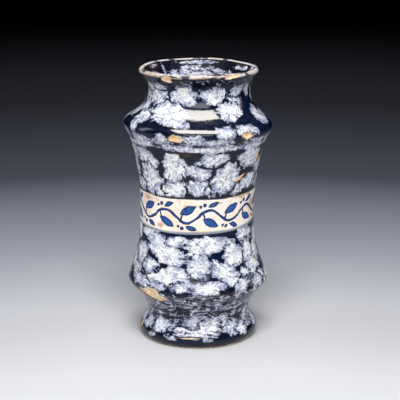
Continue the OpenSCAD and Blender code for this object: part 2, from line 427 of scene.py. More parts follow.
def finish_piece(piece, node, material, section=broken_clay):
    """Breaks the knocks out of a piece, where its section then shows, smooths it, and puts it in its
    CAD node's place."""
    piece.data.materials.append(material)
    breaks_mesh.materials[0] = section
    cut = piece.modifiers.new("breaks", "BOOLEAN")
    cut.operation = "DIFFERENCE"
    cut.object = broken_away
    cut.solver = "MANIFOLD"
    cut.material_mode = "TRANSFER"
    bpy.context.view_layer.update()
    knocked = piece.evaluated_get(bpy.context.evaluated_depsgraph_get())
    mesh = bpy.data.meshes.new_from_object(knocked)
    piece.modifiers.clear()
    piece.data = mesh
    mesh.shade_smooth()
    mesh.set_sharp_from_angle(angle=CRISP_EDGE)
    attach(piece, "root")
    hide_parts(node)


CLAY_STEP = 1.2 * MM
foot = turned_piece("foot_clay", "foot", CLAY_STEP, columns=240)
finish_piece(foot, "foot", bare_clay)

# Slip at the foot
# A thin smear of wet clay that lutes the wall to the foot. It was pressed out between the two
# bevelled edges and fired with them, and it lies hidden under both glazes.
SLIP_STEP = 0.8 * MM
slip_clay = clay_material("slip_clay", grimy=0.35)
foot_slip = turned_piece("foot_slip_clay", "foot_slip", SLIP_STEP, columns=240)
finish_piece(foot_slip, "foot_slip", slip_clay)

# Wall
# The middle clay section, thrown as an open waisted cylinder with a swelling lower shoulder.
# It shows only where knocks have broken the glaze away.
wall = turned_piece("wall_clay", "body_wall", CLAY_STEP, columns=300)
finish_piece(wall, "body_wall", bare_clay)

# Slip at the shoulder
# The second luted joint, of the same wet clay, just under the ledge that runs round below the
# upper shoulder. It too was pressed out between bevelled edges and lies hidden under the glaze.
shoulder_slip = turned_piece("shoulder_slip_clay", "shoulder_slip", SLIP_STEP, columns=240)
finish_piece(shoulder_slip, "shoulder_slip", slip_clay)

# Neck and shoulder
# The top clay section: the angular shoulder, the waisted neck and the flared lip with its rolled
# edge, thrown apart from the wall and luted to it.
NECK_STEP = 1.0 * MM
neck = turned_piece("neck_clay", "neck_and_shoulder", NECK_STEP, columns=300)
finish_piece(neck, "neck_and_shoulder", bare_clay)

# Lower ground glaze
# A blue-black glaze poured over the outside and sponged with white while it was wet, so that the
# white spread into feathered dabs. It stops just above the table, and is nearly plain on the foot's face.
NIGHT = colour(6, 22, 48)
SOOT = colour(12, 12, 20)
SMOKE = colour(48, 58, 88)
IRON = colour(66, 48, 40)
MILK = colour(242, 243, 242)
LAVENDER = colour(150, 156, 184)
VEIN = colour(22, 30, 62)
LABEL_LOW, LABEL_HIGH = (corner.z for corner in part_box("label_band"))
# The dabs that show in front, a list for each zone: the angle in degrees, the height, half the width
# and half the height in millimetres, and the tilt in degrees
FRONT_DABS = {
    "neck": [
        (-50, 184, 8.4, 6, 20), (-72, 183, 4, 6, 0), (-48, 190, 6, 2, 0), (-66, 189.5, 4.5, 3, 0),
        (-17, 184.4, 7.6, 5.5, 0), (19, 184.4, 8.8, 4.8, 0), (40, 181, 5.4, 6, -20), (46, 187.6, 5.5, 3, 10),
        (64, 187, 3, 4, 0), (83, 184, 4, 6, 0)],
    "top of the shoulder": [
        (-46, 178, 6, 3.6, 20), (-58, 168, 8.4, 5, 25), (-70, 175, 5, 4, 20), (-87, 170, 6, 6, 0),
        (-30, 171.8, 12, 6.8, -16), (-18, 166.4, 7, 2.8, -6), (33, 173.2, 8, 6, 0), (72, 168, 6, 7.2, -30)],
    # On the edge of the shoulder, the two long flat dabs at 149 mm along the ledge are partly a white smear
    # and partly a painted highlight
    "edge of the shoulder": [
        (42, 162.4, 7, 4, -8), (22, 161.4, 5.2, 4.2, 0), (-60, 161, 3.2, 2.8, 0), (-3, 156.4, 7.8, 2.6, 0),
        (-29, 156, 4.5, 2.8, 0), (-52, 153, 7, 2.6, 0), (14, 155, 6, 1.8, 0), (0, 149, 18, 1.7, 0),
        (22, 148.8, 8, 1.5, 0), (54, 152.5, 5, 2.2, 0), (-80, 155, 6, 3, 0), (78, 153, 6, 3, 0)],
    "over the label": [
        (-52, 139.9, 11, 5.4, -35), (-50, 123.8, 8.6, 9.4, 20), (-72, 143, 5.6, 6, 0), (-76, 130, 5, 7.4, 0),
        (-68, 118, 5, 4, 0), (-37, 117.6, 5.4, 4, 0), (-21, 119, 8.8, 4.6, 0), (0, 120.6, 7, 4.6, 0),
        (-21, 135.4, 7.8, 9, 0), (0, 132.4, 8, 4.4, -5), (14, 141.4, 8.8, 4.6, 10), (10, 146.6, 7, 1.6, 0),
        (52, 141.5, 10.4, 7, 20), (70, 132, 5.4, 6, 0), (76, 119, 5, 5, 0), (56, 121.5, 7, 4.6, 0),
        (38, 117.4, 5, 3.6, 0), (15, 117.4, 4.6, 3.4, 0), (27, 126.4, 11, 7.2, 50)],
    "under the label": [
        (-51, 83.2, 10, 3, 0), (-65, 67.5, 7.4, 6.4, 0), (-79, 62, 4.7, 6.4, 0), (-76, 82, 4.7, 5.5, 0),
        (-29, 55.8, 16.3, 5.4, 4), (-47, 60.5, 7.2, 4.5, 0), (-56, 49, 8.5, 3.6, -10), (-68, 55, 5.7, 4, 0),
        (-32, 73.6, 15.1, 6.6, -22), (-20, 80, 7.2, 3.2, 0), (10, 77.4, 14.4, 5.3, 6), (38, 69, 7.8, 6.8, 0),
        (55, 80.3, 6.8, 5.7, 0), (57, 69, 5.1, 7.6, 0), (63, 57.5, 7.6, 7.8, 10), (73, 69, 4.9, 8.1, 0),
        (79, 77, 4.7, 6.4, 0), (28, 56, 12.3, 5.8, -44), (2, 63, 7.4, 6.7, 0), (47, 55, 4, 3.6, 0),
        (70, 50, 5.3, 4.5, 0)],
    # On the edge of the lower shoulder, the wide dab at 9 degrees and 48.4 mm is partly a white dab and
    # partly a painted highlight
    "edge of the lower shoulder": [
        (-12, 49.2, 10, 3, 0), (9, 48.4, 11.5, 4.2, 4), (40, 47.5, 7, 3.6, 30), (-36, 48, 7, 2.8, 0),
        (60, 47, 6, 3.8, 0)],
    # On the foot, the thin flat dab at -8 degrees and 10.8 mm is partly a white smear and partly a painted
    # highlight along the foot's crest
    "foot": [
        (-20, 15.6, 10, 4, 0), (8, 12.6, 11, 3.8, 0), (-42, 15, 8, 4.6, 0), (-64, 14.5, 6.4, 4.8, 0),
        (-52, 5.8, 3.2, 1.8, 20), (-28, 7.6, 3.2, 1.8, 0), (38, 13.6, 6.6, 4.8, 0), (9.5, 8.2, 3, 2.2, 0),
        (64, 16.5, 5.2, 5, 0), (26, 18.5, 6, 3, 0), (-82, 16, 6, 5, 0), (82, 13, 6, 5, 0),
        (-8, 10.8, 12, 1.2, 0), (-2, 18.5, 9, 3.4, 0), (14, 17, 7, 4, 0), (50, 12, 5, 4, 0)],
}
# The chance dabs behind: the least and the most of the angle, the height, half the width, how tall that
# makes them, and the tilt
BEHIND_DABS = [(84, 276), (9, 189), (3.5, 10), (0.5, 1.0), (-40, 40)]
BEHIND_TRIES = 3000
FRONT_EDGE = 60
ROOM = 1.02
OFF_THE_LABEL = 0.6


def all_dabs():
    """The dabs in front, after chance ones that fill the rest of the jar."""
    in_front = [d for zone in FRONT_DABS.values() for d in zone]
    at_the_sides = [d for d in in_front if abs(d[0]) > FRONT_EDGE]
    taken = [(surface_at(d[0], d[1] * MM)[0], math.sqrt(d[2] * d[3])) for d in at_the_sides]
    luck = np.random.default_rng(21)
    behind = []
    for _ in range(BEHIND_TRIES):
        turn, z, wide, shape, tilt = [luck.uniform(*ends) for ends in BEHIND_DABS]
        tall = wide * shape
        clear = tall * OFF_THE_LABEL
        if LABEL_LOW / MM - clear < z < LABEL_HIGH / MM + clear:
            continue
        here = surface_at(turn, z * MM)[0]
        size = math.sqrt(wide * tall)
        if all((here - there).length > ROOM * MM * (size + other) for there, other in taken):
            taken.append((here, size))
            behind.append((turn, z, wide, tall, tilt))
    return behind + in_front


def corners_of(mesh):
    """Where the corners of a mesh lie."""
    spots = np.empty(len(mesh.vertices) * 3)
    mesh.vertices.foreach_get("co", spots)
    return spots.reshape(-1, 3)


DAB_SPREAD = 1.27
DAB_REACH = 1.7
OFF_ALL_DABS = -6.0
# The lobes of a dab's edge: the least number of them, and their share of its size
DAB_LOBES = ((2, 0.09), (5, 0.07), (8, 0.05))
# The least and the most of a dab's dark rim in millimetres, and of how far off its middle the root lies,
# as a share of the dab. So many of the roots are kept above the middle
DAB_RIMS = (0.2, 1.9)
DAB_ROOTS = (0.1, 0.6)
ROOTS_ABOVE = 0.75
LOT_STEP = 3.3


def sponge(piece, dabs, surface):
    """Marks each corner of a piece with how far it lies inside the topmost dab there, in millimetres,
    with how much it is on the side away from the root that the dab fans out from, and with its way from
    that root, the dab's lot being the third value."""
    spots = corners_of(piece.data)
    depth = np.full(len(spots), OFF_ALL_DABS)
    far = np.zeros(len(spots))
    spread = np.zeros((len(spots), 3))
    luck = np.random.default_rng(5)
    for lot, (turn, z, wide, tall, tilt) in enumerate(dabs):
        middle, along, _, up = surface(turn, z * MM)
        wide, tall = DAB_SPREAD * wide, DAB_SPREAD * tall
        lobes = [(k + luck.integers(0, k), luck.uniform(0, FULL_TURN), size) for k, size in DAB_LOBES]
        rim = luck.uniform(*DAB_RIMS)
        root = luck.uniform(*DAB_ROOTS)
        above = luck.random() < ROOTS_ABOVE
        side = luck.uniform(0, math.pi if above else FULL_TURN)
        offset = (spots - np.array(middle)) / MM
        near = np.flatnonzero(np.abs(offset).max(axis=1) < DAB_REACH * max(wide, tall))
        x, y = offset[near] @ np.array(along), offset[near] @ np.array(up)
        lean = math.radians(tilt)
        across = (x * math.cos(lean) + y * math.sin(lean)) / wide
        upward = (y * math.cos(lean) - x * math.sin(lean)) / tall
        bearing = np.arctan2(upward, across)
        edge = 1 + sum(size * np.cos(k * bearing + phase) for k, phase, size in lobes)
        inside = (edge - np.hypot(across, upward)) * math.sqrt(wide * tall)
        taken = (inside > -rim) | (inside > depth[near])
        depth[near[taken]] = inside[taken]
        far[near[taken]] = -np.cos(bearing[taken] - side)
        way_x, way_y = x - root * wide * math.cos(side), y - root * tall * math.sin(side)
        way = np.column_stack([way_x, way_y, np.full(len(x), LOT_STEP * lot)])
        spread[near[taken]] = way[taken]
    mark_corners(piece.data, "dab_depth", depth)
    mark_corners(piece.data, "dab_far", far)
    mark_corners(piece.data, "dab_spread", spread)


def new_effect(name, inputs, outputs):
    """An empty shader group with named sockets: its tree, its inputs and its outputs."""
    tree = bpy.data.node_groups.new(name, "ShaderNodeTree")
    for socket, kind, value in inputs:
        made = tree.interface.new_socket(socket, in_out="INPUT", socket_type=kind)
        if value is not None:
            made.default_value = value
    for socket, kind in outputs:
        tree.interface.new_socket(socket, in_out="OUTPUT", socket_type=kind)
    return tree, tree.nodes.new("NodeGroupInput").outputs, tree.nodes.new("NodeGroupOutput").inputs


def place_effect(effect, **sockets):
    """The outputs of a shader group that is put into a material."""
    return add("ShaderNodeGroup", sockets, node_tree=effect).outputs


def mark_of(place, name, output="Fac"):
    """What a mesh is marked with at a place, under a name."""
    return add("ShaderNodeAttribute", tree=place.id_data, attribute_name=name).outputs[output]


def mix(share, first, second):
    """The first number where the share is nothing, and the second where it is one."""
    return add("ShaderNodeMix", {0: share, 2: first, 3: second}).outputs[0]


def uneven(place, spots, detail=2, roughness=0.55):
    """Cloudy noise that goes as far below nothing as above it."""
    return calc("SUBTRACT", grain(place, spots, detail, roughness), 0.5)


HALF_GREY = (0.5, 0.5, 0.5)
SWAY = 12 * MM
STREAK_FLATNESS = 3.6
CLEFT_LENGTHS = (0.2, 3.4)
SPECK_SPOTS = 380


def sponged_dabs():
    """White sponge dabs on a dark ground, from the marks on the mesh. Dark clefts run from a dab's edge
    towards its root, and where the smear is one the dabs are wiped into level streaks."""
    shares = [(name, "NodeSocketFloat", 0.0) for name in ("Smear", "Thin", "Sweep", "Soot")]
    tree, given, put = new_effect(
        "sponged dabs", [("Place", "NodeSocketVector", None), *shares],
        [("Colour", "NodeSocketColor"), ("Height", "NodeSocketFloat")])
    place = given["Place"]
    depth = mark_of(place, "dab_depth")
    far = mark_of(place, "dab_far")
    spread = mark_of(place, "dab_spread", "Vector")

    # Clefts along some of the ways that fan out from the root, longer on the far side of the dab
    curl = calc_vector("SUBTRACT", grain(place, 90, 2, output="Color"), HALF_GREY)
    lot = calc_vector("MULTIPLY", spread, (0.0, 0.0, 1.0))
    flat = calc_vector("MULTIPLY", spread, (1.0, 1.0, 0.0))
    spoke = calc_vector("ADD", calc_vector("NORMALIZE", flat), lot)
    bent = calc_vector("MULTIPLY_ADD", curl, (0.9, 0.9, 0.0), spoke)
    off_cleft = calc("ABSOLUTE", uneven(bent, 3.4, 1, 0.5))
    cleft = fade(off_cleft, 0.0, 0.04, 1.0, 0.0)
    cleft_length = fade(grain(place, 210, 2), 0.34, 0.66, *CLEFT_LENGTHS)
    cleft_length = times(cleft_length, fade(far, -0.6, 0.5, 0.1, 1.0))
    lobes = calc("MULTIPLY_ADD", calc("MINIMUM", off_cleft, 0.12), 8.0, -0.4)
    clefted = calc("ADD", depth, lobes)
    clefted = calc("SUBTRACT", clefted, times(cleft, cleft_length))

    # Level streaks, which the dabs turn into where they were wiped
    sway = add("ShaderNodeVectorMath", {0: curl, "Scale": SWAY}, operation="SCALE").outputs[0]
    swayed = calc_vector("ADD", place, sway)
    level = calc_vector("MULTIPLY", swayed, (1.0, 1.0, STREAK_FLATNESS))
    streaks = calc("SUBTRACT", grain(level, 190, 4, 0.68), 0.40)
    wiped = times(calc("MAXIMUM", depth, -2.0), 0.35)
    wiped = calc("MULTIPLY_ADD", streaks, 13.0, wiped)

    # How far the white reaches, with its lumps and nibbled edge
    reach = mix(given["Smear"], clefted, wiped)
    nibbles = uneven(place, 640, 2, 0.6)
    for rough, size in ((uneven(place, 170), 3.6), (nibbles, 3.0)):
        reach = calc("MULTIPLY_ADD", rough, size, reach)
    reach = calc("SUBTRACT", reach, given["Thin"])
    soft = times(given["Smear"], 0.9)
    white = fade(reach, calc("SUBTRACT", -0.24, soft), calc("ADD", 0.32, soft))

    # How much body the white has, from veins and specks that let the ground through to thick white
    flecks = uneven(swayed, 430, 4, 0.7)
    flecks = mix(given["Sweep"], flecks, calc("SUBTRACT", streaks, 0.1))
    clouds = uneven(place, 150)
    speck = add("ShaderNodeTexVoronoi", {"Vector": place, "Scale": SPECK_SPOTS}).outputs["Distance"]
    speck = fade(calc("MULTIPLY_ADD", nibbles, 0.5, speck), 0.08, 0.22, 1.0, 0.0)
    speck = times(speck, fade(grain(place, 120, 2), 0.36, 0.5))
    body = calc("MULTIPLY_ADD", calc("MINIMUM", reach, 4.0), 0.085, 0.36)
    for trace, weight in ((flecks, 2.1), (clouds, 0.9), (cleft, -0.16), (speck, -1.1)):
        body = calc("MULTIPLY_ADD", trace, weight, body)

    # The ground, sooty in patches, smoky in streaks and brown where iron has come through
    patches = fade(grain(place, 45, 2), 0.35, 0.65, 0.0, 0.6)
    dark = blend(calc("MAXIMUM", patches, given["Soot"]), NIGHT, SOOT)
    dark = blend(fade(streaks, 0.10, 0.32, 0.0, 0.4), dark, SMOKE)
    iron = fade(grain(level, 34, 3), 0.54, 0.66)
    dark = blend(times(iron, given["Soot"]), dark, IRON)
    milk = blend(fade(body, 0.0, 0.34), VEIN, LAVENDER)
    milk = blend(fade(body, 0.30, 0.86), milk, MILK)
    join(blend(white, dark, milk), put["Colour"])
    thickness = calc("MULTIPLY_ADD", fade(body, 0.1, 0.7), 0.7, 1.0)
    join(times(white, thickness), put["Height"])
    return tree


dab_effect = sponged_dabs()


def between(value, low, high, soft):
    """One between two values, fading to nothing outside them."""
    over_low = fade(value, low - soft, low + soft)
    return times(over_low, fade(value, high + soft, high - soft))


# Zones in which the sponging differs: the lowest and the highest place, and how softly they end, all in
# millimetres
ZONES = {
    "foot_top": (11, 21, 2),
    "swept": (12, 84, 4),
    "flare": (21, 44.5, 2.5),
    "waist_line": (24.6, 27.4, 1.2),
    "brushed": (42, 57, 4),
    "over_label": (106, 154, 4),
    # Along the ledge the white is thickened into a painted highlight line, and thinned just under it into a
    # painted shadow
    "ledge_painted_shadow": (145.6, 147.4, 0.5),
    "ledge": (146.5, 156, 1.5),
    "ledge_painted_highlight": (148.6, 150.2, 0.4),
    # On the upper shoulder the white is smeared into faint streaks, partly real streaking and partly a
    # painted sheen
    "haze_and_painted_sheen": (163.5, 167, 1.5),
}
# The two zones that end on one side only, by the heights between which they fade
FOOT_FACE_ENDS = (3.5 * MM, 6.5 * MM)
UNDER_LIP_STARTS = (189.5 * MM, 192.5 * MM)
# How much each zone is smeared and sooty, and how much thinner or thicker its white is
SMEARED = {"flare": 1.0, "ledge": 0.5, "under_lip": 1.0, "foot_top": 0.7, "haze_and_painted_sheen": 0.4, "brushed": 0.4}
SOOTY = {"over_label": 0.6, "flare": 0.4, "under_lip": 0.7, "foot_face": 0.45}
THIN = {"foot_face": 3.0, "under_lip": 2.0, "flare": 0.7}
# Negative values thicken the white: along the ledge that makes a painted highlight line, and the thinned
# band just under it a painted shadow
THINNER = {
    "ledge": -0.8, "waist_line": 1.1, "foot_top": 0.84, "brushed": 1.12, "ledge_painted_shadow": 2.2,
    "ledge_painted_highlight": -2.2}
SWEPT = 0.7
GROUND_RELIEF = 0.12 * MM


def strongest(zones, weights):
    """The strongest of several zones, each with its weight."""
    most = 0.0
    for name, weight in weights.items():
        most = calc("MAXIMUM", most, times(zones[name], weight))
    return most


def ground_material():
    """The sponged ground: nearly plain on the foot's face, wiped level at the pinched waist, along the
    ledge and under the lip, and brushed over the lower shoulder, with a painted highlight line along
    the ledge and a painted shadow just under it."""
    material, shader, place = new_material("sponged_ground_glaze")
    rise = mark_of(place, "rise")
    zones = {name: between(rise, *(z * MM for z in ends)) for name, ends in ZONES.items()}
    zones["foot_face"] = fade(rise, *FOOT_FACE_ENDS, 1.0, 0.0)
    zones["under_lip"] = fade(rise, *UNDER_LIP_STARTS)
    thin = strongest(zones, THIN)
    for name, weight in THINNER.items():
        thin = calc("MULTIPLY_ADD", zones[name], weight, thin)
    pattern = place_effect(
        dab_effect, Place=place, Smear=strongest(zones, SMEARED), Thin=thin,
        Sweep=times(zones["swept"], SWEPT), Soot=strongest(zones, SOOTY))
    dress(shader, pattern["Colour"], fade(grain(place, 300, 3), 0.3, 0.7, 0.09, 0.16), gloss=0.30)
    ripple = calc("MULTIPLY_ADD", grain(place, 520, 2), 0.4, pattern["Height"])
    relief(shader, ripple, 0.5, GROUND_RELIEF)
    return material


GLAZE_BREAK = colour(34, 30, 34)
GLAZE_BREAK_PALE = colour(104, 84, 66)


def broken_glaze_material():
    """The section of the ground glaze where a knock broke it: dark glass, dusted with clay."""
    material, shader, place = new_material("broken_glaze")
    dust = fade(grain(place, 700, 3), 0.42, 0.66)
    dress(shader, blend(dust, GLAZE_BREAK, GLAZE_BREAK_PALE), fade(dust, 0.0, 1.0, 0.3, 0.7))
    return material


GLAZE_STEP = 0.8 * MM
GROUND_COLUMNS = 430
ground_glaze = ground_material()
broken_glaze = broken_glaze_material()
outside_dabs = all_dabs()
lower_glaze = turned_piece("lower_ground_glaze", "lower_glaze", GLAZE_STEP, GROUND_COLUMNS, shown="outside")
finish_piece(lower_glaze, "lower_glaze", ground_glaze, broken_glaze)
sponge(lower_glaze, outside_dabs, surface_at)

# Label band
# A cream tin glaze reserved round the waist, a little thinner than the ground, brushed with a blue
# leaf scroll, with a ruled blue line along its top edge and a painted shade along its lower edge. It
# has crazed, and old damp has stained it ochre.
CREAM = colour(252, 226, 198)
CREAM_PALE = colour(255, 245, 234)
OCHRE = colour(192, 136, 78)
COBALT = colour(17, 58, 128)
COBALT_PALE = colour(46, 98, 164)
COBALT_DEEP = colour(14, 22, 54)
# The colour of the painted shade along the band's lower edge
LABEL_PAINTED_SHADE = colour(104, 122, 146)
CRACK_SPACING = 5 * MM


def crazing():
    """Fine cracks in a glaze, as a mask."""
    tree, given, put = new_effect(
        "crazing", [("Place", "NodeSocketVector", None), ("Mesh", "NodeSocketFloat", CRACK_SPACING)],
        [("Cracks", "NodeSocketFloat")])
    cells = {"Vector": given["Place"], "Scale": calc("DIVIDE", 1.0, given["Mesh"])}
    edge = add("ShaderNodeTexVoronoi", cells, feature="DISTANCE_TO_EDGE").outputs["Distance"]
    line = fade(edge, 0.0, 0.03, 1.0, 0.0)
    faint = fade(grain(given["Place"], 90, 2), 0.45, 0.6)
    join(times(line, faint), put["Cracks"])
    return tree


crack_effect = crazing()
LABEL_MIDDLE = (LABEL_LOW + LABEL_HIGH) / 2
HALF_WAVES = 16
HALF_WAVE = FULL_TURN * skin_radius(LABEL_MIDDLE) / HALF_WAVES
STEM_SWING = 4.6 * MM
STEM_HALF = 1.0 * MM
HAND_SHAKE = 2.4 * MM
# The leaf, the stalk and the bract of a half wave: the middle, half the length and half the width in
# millimetres, and the tilt in degrees
LEAVES = [(0.8, 4.6, 6.8, 3.1, 28), (-4.0, -0.6, 3.8, 0.8, 72), (3.2, -8.5, 4.4, 1.9, -24)]
# Its two berries: the middle and the radius in millimetres
BERRIES = [(-3.2, -8.4, 1.5), (-6.1, -7.0, 1.2)]


def leaf(x, y, at_x, at_y, half_long, half_wide, tilt):
    """How far a point lies inside a pointed leaf, less than nothing outside it."""
    a = math.radians(tilt)
    x = calc("SUBTRACT", x, at_x * MM)
    y = calc("SUBTRACT", y, at_y * MM)
    along = times(y, math.sin(a) / (half_long * MM))
    along = calc("MULTIPLY_ADD", x, math.cos(a) / (half_long * MM), along)
    across = calc("MULTIPLY_ADD", y, math.cos(a), times(x, -math.sin(a)))
    narrowing = times(times(along, along), half_wide * MM)
    belly = calc("SUBTRACT", half_wide * MM, narrowing)
    return calc("SUBTRACT", belly, calc("ABSOLUTE", across))


def berry(x, y, at_x, at_y, radius):
    """How far a point lies inside a round berry."""
    sides = {0: calc("SUBTRACT", x, at_x * MM), 1: calc("SUBTRACT", y, at_y * MM)}
    gap = add("ShaderNodeCombineXYZ", sides).outputs[0]
    length = add("ShaderNodeVectorMath", {0: gap}, operation="LENGTH").outputs["Value"]
    return calc("SUBTRACT", radius * MM, length)


def leaf_scroll(place, rise):
    """How far a point lies inside the brushed scroll: a waving stem with a leaf, a stalk, a bract and two
    berries in each half wave, which swings over and under in turn."""
    parts = add("ShaderNodeSeparateXYZ", {0: place}).outputs
    turn = calc("ARCTAN2", parts[0], times(parts[1], -1.0))
    count = times(turn, HALF_WAVES / FULL_TURN)
    side = calc("MULTIPLY_ADD", calc("PINGPONG", calc("FLOOR", count), 1.0), 2.0, -1.0)
    hand = calc_vector("SUBTRACT", grain(place, 130, 2, output="Color"), HALF_GREY)
    shake = add("ShaderNodeSeparateXYZ", {0: hand}).outputs
    x = times(calc("SUBTRACT", calc("FRACT", count), 0.5), HALF_WAVE)
    x = calc("MULTIPLY_ADD", shake[0], HAND_SHAKE, x)
    y = times(calc("SUBTRACT", rise, LABEL_MIDDLE), side)
    y = calc("MULTIPLY_ADD", shake[1], HAND_SHAKE, y)
    phase = times(x, math.pi / HALF_WAVE)
    stem_y = times(calc("COSINE", phase), -STEM_SWING)
    slope = times(calc("SINE", phase), STEM_SWING * math.pi / HALF_WAVE)
    steep = calc("SQRT", calc("MULTIPLY_ADD", slope, slope, 1.0))
    off_stem = calc("DIVIDE", calc("ABSOLUTE", calc("SUBTRACT", y, stem_y)), steep)
    inked = calc("SUBTRACT", STEM_HALF, off_stem)
    for sizes in LEAVES:
        inked = calc("MAXIMUM", inked, leaf(x, y, *sizes))
    for sizes in BERRIES:
        inked = calc("MAXIMUM", inked, berry(x, y, *sizes))
    return inked


BRUSH_ROUGHNESS = 0.7 * MM
LINE_WAVER = 2.4 * MM
# Heights of the painted shade along the band's lower edge and of the ruled line along its top
LOW_EDGE_PAINTED_SHADE = (LABEL_LOW + 2.6 * MM, LABEL_LOW + 0.6 * MM)
TOP_LINE = (LABEL_HIGH - 1.0 * MM, LABEL_HIGH - 0.3 * MM)
LABEL_RELIEF = 0.06 * MM


def label_material():
    """Cream glaze, its brushed scroll, a ruled top line and a painted shade along its lower edge, with
    clouds, stains and crazing.
    """
    material, shader, place = new_material("label_glaze_painted")
    rise = mark_of(place, "rise")
    crazed = place_effect(crack_effect, Place=place)["Cracks"]
    cloud = grain(place, 60, 4)
    blots = calc("MULTIPLY_ADD", mark_of(place, "damp"), 0.34, grain(place, 150, 4, 0.65))
    stain = fade(blots, 0.60, 0.82, 0.0, 0.7)
    cream = blend(fade(cloud, 0.30, 0.56), CREAM, CREAM_PALE)
    cream = blend(stain, cream, OCHRE)
    cream = blend(times(crazed, 0.4), cream, OCHRE)
    fine = grain(place, 700, 3)
    brush = calc("SUBTRACT", fine, 0.5)
    ragged = calc("MULTIPLY_ADD", brush, BRUSH_ROUGHNESS, leaf_scroll(place, rise))
    paint = fade(ragged, -0.12 * MM, 0.18 * MM)
    pool = fade(ragged, 0.95 * MM, 0.2 * MM)
    pool = times(pool, fade(grain(place, 240, 2), 0.3, 0.6, 0.25, 1.0))
    wash = times(fade(ragged, 0.5 * MM, 2.0 * MM), fade(fine, 0.35, 0.6))
    blue = blend(pool, blend(wash, COBALT, COBALT_PALE), COBALT_DEEP)
    cream = blend(paint, cream, blue)
    waver = calc("MULTIPLY_ADD", calc("SUBTRACT", cloud, 0.5), LINE_WAVER, rise)
    # A painted shade along the band's lower edge, and a ruled blue line along its top
    cream = blend(fade(waver, *LOW_EDGE_PAINTED_SHADE, 0.0, 0.85), cream, LABEL_PAINTED_SHADE)
    cream = blend(fade(waver, *TOP_LINE, 0.0, 0.9), cream, COBALT_DEEP)
    dress(shader, cream, fade(cloud, 0.3, 0.7, 0.12, 0.24), gloss=0.30)
    height = calc("SUBTRACT", times(paint, 0.5), crazed)
    relief(shader, height, 0.4, LABEL_RELIEF)
    return material


# Where old damp has stained the band: the angle in degrees, then the height, half the width and half the
# height of the stain in millimetres
STAINS = [
    (-54, 109.5, 6, 2.2), (-44, 108.5, 4, 2.2), (-3, 106.5, 8, 1.4), (52, 110.5, 12, 1.6), (68, 103, 5, 4),
    (-38, 91, 3, 2), (20, 109, 5, 1), (118, 107, 9, 3), (160, 92, 7, 3), (205, 106, 10, 2), (250, 98, 6, 4)]
STAIN_REACH = 3


def damp_marks(piece):
    """Marks each corner of a piece with how damp-stained it is."""
    spots = corners_of(piece.data)
    damp = np.zeros(len(spots))
    for turn, z, wide, tall in STAINS:
        middle, along, _, up = surface_at(turn, z * MM)
        offset = (spots - np.array(middle)) / MM
        across, upward = offset @ np.array(along) / wide, offset @ np.array(up) / tall
        near = np.abs(offset).max(axis=1) < STAIN_REACH * max(wide, tall)
        damp = np.maximum(damp, near * swell(np.hypot(across, upward), 1.0))
    mark_corners(piece.data, "damp", damp)


label = turned_piece("label_band_glaze", "label_band", GLAZE_STEP, columns=400, shown="outside")
finish_piece(label, "label_band", label_material())
damp_marks(label)

# Upper ground glaze
# The same blue-black glaze, sponged with white, from the label band over the shoulder and up the
# neck to the lip. It was poured with the lower one and fired onto the clay with it.
upper_glaze = turned_piece("upper_ground_glaze", "upper_glaze", GLAZE_STEP, GROUND_COLUMNS, shown="outside")
finish_piece(upper_glaze, "upper_glaze", ground_glaze, broken_glaze)
sponge(upper_glaze, outside_dabs, surface_at)

# Lip glaze
# A thin white glaze over the rolled lip, rubbed brown where covers were tied on and off, with
# dark breaks where the ground runs over it.
LIP_WHITE = colour(208, 203, 203)
LIP_BUFF = colour(214, 172, 128)
LIP_RUST = colour(112, 70, 44)
LIP_EDGE = JAR_HEIGHT - 2.4 * MM
RUST_STARTS = (LIP_EDGE + 0.9 * MM, LIP_EDGE - 0.5 * MM)
RUST_WANDER = 3.0 * MM
BUFF_ENDS = (-12 * MM, 16 * MM)
# Where the dark ground has run over the lip: the angle and half the width in degrees
LIP_RUNS = [(181, 6), (207, 5), (233, 8), (258, 4), (-68, 6), (-12, 5), (13, 6), (52, 5), (88, 5), (150, 4)]


def lip_material():
    """Worn white: buff on the front, rust along the outer edge, and dark runs across."""
    material, shader, place = new_material("lip_glaze_worn")
    cloud = grain(place, 90, 4, 0.6)
    fine = grain(place, 420, 4, 0.65)
    level = calc_vector("MULTIPLY", place, (1.0, 1.0, 5.0))
    runs = grain(level, 95, 4, 0.65)
    rough = calc("SUBTRACT", fine, 0.5)
    wander = calc("MULTIPLY_ADD", rough, RUST_WANDER, mark_of(place, "rise"))
    buff = times(fade(cloud, 0.44, 0.6), fade(fine, 0.38, 0.6))
    to_the_back = add("ShaderNodeSeparateXYZ", {0: place}).outputs[1]
    buff = times(buff, fade(to_the_back, *BUFF_ENDS, 1.0, 0.25))
    base = blend(buff, LIP_WHITE, LIP_BUFF)
    base = blend(fade(wander, *RUST_STARTS, 0.0, 0.85), base, LIP_RUST)
    ran = calc("MULTIPLY_ADD", mark_of(place, "ran"), 0.16, runs)
    dark = fade(ran, 0.56, 0.63, 0.0, 0.95)
    dress(shader, blend(dark, base, NIGHT), fade(fine, 0.3, 0.7, 0.2, 0.5), gloss=0.15)
    return material


def run_marks(piece):
    """Marks each corner of a piece with how much of the dark ground has run over it."""
    x, y, _ = corners_of(piece.data).T
    turns = np.degrees(np.arctan2(x, -y))
    ran = np.zeros(len(turns))
    for turn, half in LIP_RUNS:
        ran = np.maximum(ran, swell((turns - turn + 180) % 360 - 180, half))
    mark_corners(piece.data, "ran", ran)


LIP_STEP = 0.3 * MM
lip = turned_piece("lip_rim_glaze", "lip_glaze", LIP_STEP, columns=400)
finish_piece(lip, "lip_glaze", lip_material())
run_marks(lip)

# Inner glaze
# The lining of the jar, the same blue-black and white glaze. It was poured in, swilled round and
# poured out again, so that its white lies in longer dragged patches.
lining_outline = outline_of("inner_glaze")[0]


